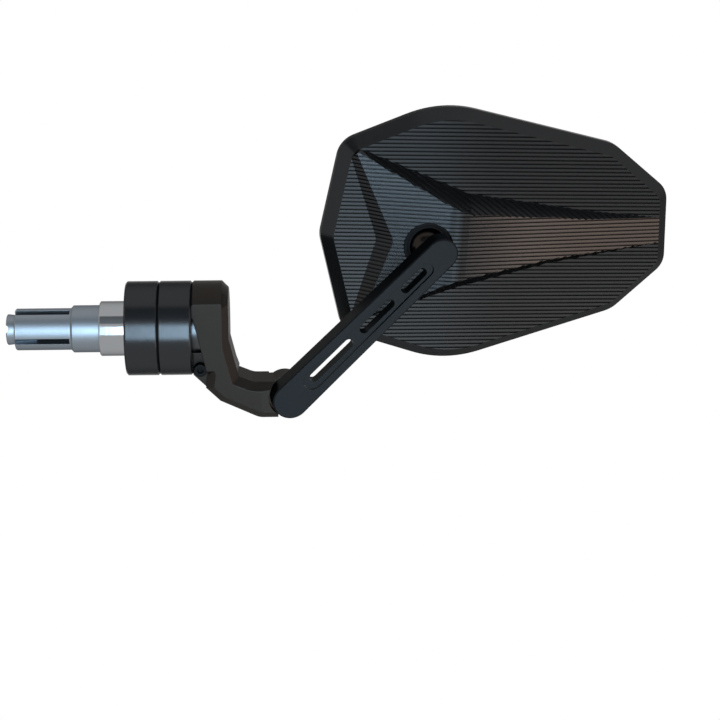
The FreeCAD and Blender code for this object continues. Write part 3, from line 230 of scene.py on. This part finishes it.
# How squarely the facets, the ridge's walls and the grooves' own sides look towards the arm.
FACETS_FACE = (0.735, 1.1)
WALLS_FACE = (0.25, 0.62)
SIDES_FACE = (-0.25, 0.25)

# Share of the colour that the painted shade takes away in a groove, and how much of that painted shade shows
# on the ridge's walls.
GROOVE_PAINTED_SHADE_SHARE = 0.6
WALL_PAINTED_SHADE_SHARE = 0.1

# How far a groove's painted shade fades outside its edge and inside it, in pitches.
FADE_OUTSIDE = 0.09
FADE_INSIDE = 0.02


def groove_lines(tree, place, turn):
    """1 in the grooves that run at a turn from the head's length, 0 on the lands between them."""
    across = ACROSS_GROOVES * math.cos(turn) - ALONG_GROOVES * math.sin(turn)
    start = GROOVE_WIDTH / 2 + BALL_CENTRE.dot(across)
    distance = math_node(tree, "SUBTRACT", facing(tree, place, across), start)
    pitches = math_node(tree, "DIVIDE", distance, GROOVE_PITCH)
    nearest = math_node(tree, "ROUND", pitches)
    off_centre = math_node(tree, "ABSOLUTE", math_node(tree, "SUBTRACT", pitches, nearest))
    half = GROOVE_WIDTH / GROOVE_PITCH / 2
    return add_node(tree, "MapRange", {"interpolation_type": "SMOOTHSTEP"}, Value=off_centre,
                    n1=half + FADE_OUTSIDE, n2=half - FADE_INSIDE).outputs["Result"]


def make_painted_groove_shade_group():
    """Painted shade of the milled grooves, which run level on the facets and slantwise on the ridge's two
    walls; the grooves' own sides take it in full.
    """
    group, _, end = node_tree_group("painted_shade_of_grooves", (), (("Shade", "Float"),))
    place = add_node(group, "TexCoord").outputs["Object"]
    world_normal = add_node(group, "NewGeometry").outputs["True Normal"]
    normal = between_spaces(group, "NORMAL", "WORLD", "OBJECT", world_normal)
    front = facing(group, normal, TOWARDS_ARM)
    upwards = math_node(group, "GREATER_THAN", facing(group, normal, ACROSS_GROOVES), 0.0)
    on_facets = between(group, front, *FACETS_FACE)
    level = math_node(group, "MULTIPLY", groove_lines(group, place, 0.0), on_facets)
    slanted = add_node(group, "Mix", n0=upwards, n2=groove_lines(group, place, WALL_GROOVE_TURN),
                       n3=groove_lines(group, place, -WALL_GROOVE_TURN)).outputs[0]
    on_walls = math_node(group, "MULTIPLY", slanted, between(group, front, *WALLS_FACE))
    walls = math_node(group, "MULTIPLY", on_walls, WALL_PAINTED_SHADE_SHARE)
    sides = between(group, front, *SIDES_FACE)
    # Painted shade: the level grooves and the grooves' sides get it in full, the slanted grooves on the walls
    # a small share.
    shade = math_node(group, "ADD", math_node(group, "ADD", level, walls), sides)
    height = math_node(group, "SUBTRACT", facing(group, place, TOWARDS_ARM), BALL_CENTRE.dot(TOWARDS_ARM))
    milled = math_node(group, "GREATER_THAN", height, GROOVE_FLOOR)
    group.links.new(math_node(group, "MULTIPLY", shade, milled), end.inputs["Shade"])
    return group


BLASTED = make_blasted_group()
TURNED = make_turned_group()
PAINTED_GROOVE_SHADE = make_painted_groove_shade_group()


# Materials

# Brightness of what a surface mirrors at a grazing angle, and how metallic the anodised skin looks.
EDGE_TINT = 0.35
ANODISED_METAL = 0.85


def new_material(name, metallic, edge_tint=EDGE_TINT, **values):
    """Material with a Principled surface, and its node tree and shader."""
    material = bpy.data.materials.new(name)
    material.use_nodes = True
    tree = material.node_tree
    shader = tree.nodes["Principled BSDF"]
    shader.inputs["Metallic"].default_value = metallic
    shader.inputs["Specular Tint"].default_value = (edge_tint, edge_tint, edge_tint, 1)
    for socket, value in values.items():
        shader.inputs[socket.replace("_", " ")].default_value = value
    return material, tree, shader


def use_surface(tree, shader, group, **values):
    """Place a shared surface effect in a material with its own values, and feed the shader from it."""
    node = add_node(tree, "Group", {"node_tree": group}, **values)
    tree.links.new(node.outputs["Roughness"], shader.inputs["Roughness"])
    tree.links.new(node.outputs["Normal"], shader.inputs["Normal"])
    if "Color" in node.outputs:
        tree.links.new(node.outputs["Color"], shader.inputs["Base Color"])
    return node


def anodised(name, colour, roughness, grain=5200.0, edge=0.3 * MM, edge_tint=EDGE_TINT):
    material, tree, shader = new_material(name, ANODISED_METAL, edge_tint)
    use_surface(tree, shader, BLASTED, Grain=grain, Depth=0.08, Roughness=roughness, Spread=0.08, Edge=edge,
                Color=(*colour, 1))
    return material


def milled_facets(name, colour, roughness):
    """Anodised facets whose fine milling smears what they mirror across the grooves only, with painted shade
    darkening the colour in the grooves.
    """
    material, tree, shader = new_material(name, ANODISED_METAL, Anisotropic=1.0)
    surface = use_surface(tree, shader, BLASTED, Grain=3800.0, Depth=0.03, Roughness=roughness, Spread=0.04,
                          Edge=0.08 * MM, Color=(*colour, 1))
    grooves = add_node(tree, "Group", {"node_tree": PAINTED_GROOVE_SHADE}).outputs["Shade"]
    # The colour is darkened by the painted shade in the grooves.
    left = math_node(tree, "SUBTRACT", 1.0, math_node(tree, "MULTIPLY", grooves, GROOVE_PAINTED_SHADE_SHARE))
    tree.links.new(scaled(tree, surface.outputs["Color"], left), shader.inputs["Base Color"])
    across = between_spaces(tree, "VECTOR", "OBJECT", "WORLD", ACROSS_GROOVES)
    tree.links.new(across, shader.inputs["Tangent"])
    return material


def turned_metal(name, colour, roughness, rings=2600.0, depth=0.3, spread=0.1):
    material, tree, shader = new_material(name, 1.0, Base_Color=(*colour, 1))
    use_surface(tree, shader, TURNED, Rings=rings, Depth=depth, Roughness=roughness, Spread=spread)
    return material


def moulded(name, colour, roughness):
    material, tree, shader = new_material(name, 0.0, Specular_IOR_Level=0.15)
    use_surface(tree, shader, BLASTED, Grain=3000.0, Depth=0.15, Roughness=roughness, Spread=0.12,
                Color=(*colour, 1))
    return material


def silvered_glass(name):
    material, tree, shader = new_material(name, 1.0)
    use_surface(tree, shader, BLASTED, Grain=9000.0, Depth=0.0, Roughness=0.02, Spread=0.02,
                Color=(0.82, 0.85, 0.88, 1))
    return material


FINISHES = {
    "arm_anodised": anodised("arm_anodised", (0.0095, 0.0108, 0.0118), roughness=0.36, edge=0.15 * MM),
    "elbow_anodised": anodised("elbow_anodised", (0.0195, 0.0163, 0.0138), roughness=0.42, edge=0.4 * MM,
                               edge_tint=0.5),
    "turned_anodised": anodised("turned_anodised", (0.029, 0.0297, 0.031), roughness=0.19),
    # The head housing's finish, with painted shade in its grooves.
    "grooved_anodised_painted_shade": milled_facets("grooved_anodised_painted_shade", (0.024, 0.024, 0.0245), roughness=0.14),
    "bare_aluminium": turned_metal("bare_aluminium", (0.2, 0.222, 0.245), roughness=0.42),
    "polished": turned_metal("polished", (0.29, 0.3, 0.31), roughness=0.1, rings=1500.0, depth=0.05,
                             spread=0.03),
    "dark_chrome": turned_metal("dark_chrome", (0.022, 0.019, 0.017), roughness=0.2, rings=1500.0,
                                depth=0.1, spread=0.05),
    "burnished": turned_metal("burnished", (0.06, 0.062, 0.065), roughness=0.3, rings=1500.0, depth=0.1,
                              spread=0.05),
    "black_oxide": anodised("black_oxide", (0.006, 0.006, 0.0065), roughness=0.42, grain=4200.0),
    "plain_steel": turned_metal("plain_steel", (0.5, 0.51, 0.53), roughness=0.3),
    "black_plastic": moulded("black_plastic", (0.006, 0.006, 0.0065), roughness=0.55),
    "foam": moulded("foam", (0.03, 0.03, 0.03), roughness=0.9),
    "silvered_glass": silvered_glass("silvered_glass"),
}

NODE_FINISHES = {
    "expander_cone": "bare_aluminium",
    "expander_sleeve": "bare_aluminium",
    "adapter_ring": "polished",
    "inner_spacer_ring": "turned_anodised",
    "outer_spacer_ring": "turned_anodised",
    "swivel_hub": "burnished",
    "clamp_bolt": "black_oxide",
    "clamp_washer": "plain_steel",
    "elbow": "elbow_anodised",
    "pinch_screw": "black_oxide",
    "arm": "arm_anodised",
    "arm_pivot_bolt": "black_oxide",
    "arm_friction_washer": "black_plastic",
    "arm_spring_washer": "plain_steel",
    "ball_stud": "dark_chrome",
    "stud_grub_screw": "black_oxide",
    "socket_liner": "black_plastic",
    "socket_ring": "black_plastic",
    "socket_cup": "black_plastic",
    "socket_plate": "plain_steel",
    "socket_plate_screws": "black_oxide",
    "head_housing": "grooved_anodised_painted_shade",
    "glass_pad": "foam",
    "mirror_glass": "silvered_glass",
}


def finish_nodes():
    for name, finish in NODE_FINISHES.items():
        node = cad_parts[name]
        if not node.material_slots:
            node.data.materials.append(FINISHES[finish])
        for slot in node.material_slots:
            slot.material = FINISHES[finish]
    # The photo's facets don't mirror the dark arm in front of them.
    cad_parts["arm"].visible_glossy = False


# Added piece

SLOT_WIDTH = 2.2 * MM
SLOT_TURN = math.radians(17.5)
SLOT_START = -38.0 * MM
SLOT_END = -18.8 * MM
# Wider than the sleeve, so that the cutter runs through both of its walls.
CUTTER_SPAN = 30.0 * MM
MERGE_DISTANCE = 0.001 * MM
SMOOTHED_ANGLE = math.radians(25)


def make_slotted_sleeve():
    """The expanding sleeve with its second pair of slots, square to the pair that the solid has."""
    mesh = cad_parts["expander_sleeve"].data.copy()
    sleeve = bpy.data.objects.new("slotted_sleeve", mesh)
    bpy.context.scene.collection.objects.link(sleeve)
    select_only(sleeve)
    bpy.ops.object.mode_set(mode="EDIT")
    bpy.ops.mesh.select_all(action="SELECT")
    bpy.ops.mesh.remove_doubles(threshold=MERGE_DISTANCE)
    bpy.ops.object.mode_set(mode="OBJECT")
    bpy.ops.mesh.primitive_cube_add(size=1, location=((SLOT_START + SLOT_END) / 2, 0, 0),
                                    rotation=(SLOT_TURN, 0, 0),
                                    scale=(SLOT_END - SLOT_START, CUTTER_SPAN, SLOT_WIDTH))
    cutter = bpy.context.object
    slots = sleeve.modifiers.new("second_slots", "BOOLEAN")
    slots.operation = "DIFFERENCE"
    slots.solver = "EXACT"
    slots.object = cutter
    select_only(sleeve)
    bpy.ops.object.modifier_apply(modifier=slots.name)
    bpy.data.objects.remove(cutter)
    bpy.ops.mesh.customdata_custom_splitnormals_clear()
    bpy.ops.object.shade_smooth_by_angle(angle=SMOOTHED_ANGLE)
    sleeve.data.materials.clear()
    sleeve.data.materials.append(FINISHES["bare_aluminium"])
    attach(sleeve, "bar_plug")
    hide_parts("expander_sleeve")


# Floor, backdrop and light

# The point that the lamps look at.
MIDDLE = Vector((0.09, 0.0, 0.015))
FLOOR_MIDDLE = 0.06
FLOOR_DROP = 0.42
FLOOR_SIZE = 7.0
FLOOR_GREY = 0.9
MATT = 0.9
BACKDROP_LIGHT = 0.35
LAMP_DISTANCE = 1.0

# Name, azimuth and elevation in degrees, width, height, brightness and colour of each lamp.
SOFTBOXES = (
    ("front_softbox", -1, 9, 0.3, 0.62, 20.0, (0.56, 0.8, 1.0)),
    ("wide_softbox", 15.2, -12, 0.4, 0.7, 1.5, (0.5, 0.8, 1.0)),
    ("side_softbox", 14.5, -17, 0.24, 0.42, 1.6, (0.6, 0.82, 1.0)),
    ("low_softbox", 30, -28, 0.5, 0.33, 2.2, (1.0, 0.97, 0.93)),
    ("outboard_softbox", 56, -16, 0.48, 0.5, 4.2, (1.0, 0.72, 0.56)),
)

FLAG_AZIMUTH = 0
FLAG_ELEVATION = 55
FLAG_DISTANCE = 0.9
FLAG_WIDTH = 1.5
FLAG_HEIGHT = 0.55
FLAG_GREY = 0.4


def matt_grey(name, grey):
    return new_material(name, 0.0, edge_tint=1.0, Base_Color=(grey, grey, grey, 1), Roughness=MATT)


def mixed_by_ray(tree, lit, seen):
    """One shader for the light that falls on the object, another where the background itself is seen."""
    path = add_node(tree, "LightPath")
    shown = math_node(tree, "ADD", path.outputs["Is Camera Ray"], path.outputs["Is Glossy Ray"])
    through = math_node(tree, "ADD", shown, path.outputs["Is Transmission Ray"])
    share = math_node(tree, "MINIMUM", through, 1.0)
    return add_node(tree, "MixShader", n0=share, n1=lit.outputs[0], n2=seen.outputs[0]).outputs[0]


def add_floor():
    level = CAD_BOX[0][2] - FLOOR_DROP
    bpy.ops.mesh.primitive_plane_add(size=FLOOR_SIZE, location=(FLOOR_MIDDLE, 0, level))
    floor = bpy.context.object
    floor.name = "floor"
    material, tree, shader = matt_grey("white_floor", FLOOR_GREY)
    glow = add_node(tree, "Emission", Color=WHITE, Strength=1.0)
    tree.links.new(mixed_by_ray(tree, shader, glow), tree.nodes["Material Output"].inputs["Surface"])
    floor.data.materials.append(material)


def add_world():
    world = bpy.data.worlds.new("studio")
    bpy.context.scene.world = world
    world.use_nodes = True
    tree = world.node_tree
    tree.nodes.clear()
    soft = add_node(tree, "Background", Color=WHITE, Strength=BACKDROP_LIGHT)
    white = add_node(tree, "Background", Color=WHITE, Strength=1.0)
    add_node(tree, "OutputWorld", Surface=mixed_by_ray(tree, soft, white))


def direction(azimuth, elevation):
    """Direction seen from the object, azimuth 0 being the front and 90 outboard."""
    across, above = math.radians(azimuth), math.radians(elevation)
    level = math.cos(above)
    return Vector((math.sin(across) * level, -math.cos(across) * level, math.sin(above)))


def add_softbox(name, azimuth, elevation, width, height, brightness, colour):
    towards = direction(azimuth, elevation)
    bpy.ops.object.light_add(type="AREA", location=MIDDLE + towards * LAMP_DISTANCE)
    lamp = bpy.context.object
    lamp.name = name
    lamp.visible_camera = False
    lamp.data.shape = "RECTANGLE"
    lamp.data.size = width
    lamp.data.size_y = height
    lamp.data.energy = brightness * math.pi * width * height
    lamp.data.color = colour
    lamp.rotation_euler = towards.to_track_quat("Z", "Y").to_euler()


def add_flag():
    """Dark card above the front lamp, which darkens the turned rings over their highlight."""
    towards = direction(FLAG_AZIMUTH, FLAG_ELEVATION)
    shift = Matrix.Translation(MIDDLE + towards * FLAG_DISTANCE)
    turn = towards.to_track_quat("Z", "Y").to_matrix().to_4x4()
    bpy.ops.mesh.primitive_plane_add(size=1)
    flag = bpy.context.object
    flag.name = "dark_flag"
    flag.data.transform(shift @ turn @ Matrix.Diagonal((FLAG_WIDTH, FLAG_HEIGHT, 1, 1)))
    flag.visible_camera = False
    flag.data.materials.append(matt_grey("dark_card", FLAG_GREY)[0])


deselect_all()
bpy.context.scene.view_settings.view_transform = "Standard"
add_camera()
add_floor()
add_world()
for softbox in SOFTBOXES:
    add_softbox(*softbox)
add_flag()
finish_nodes()
make_slotted_sleeve()
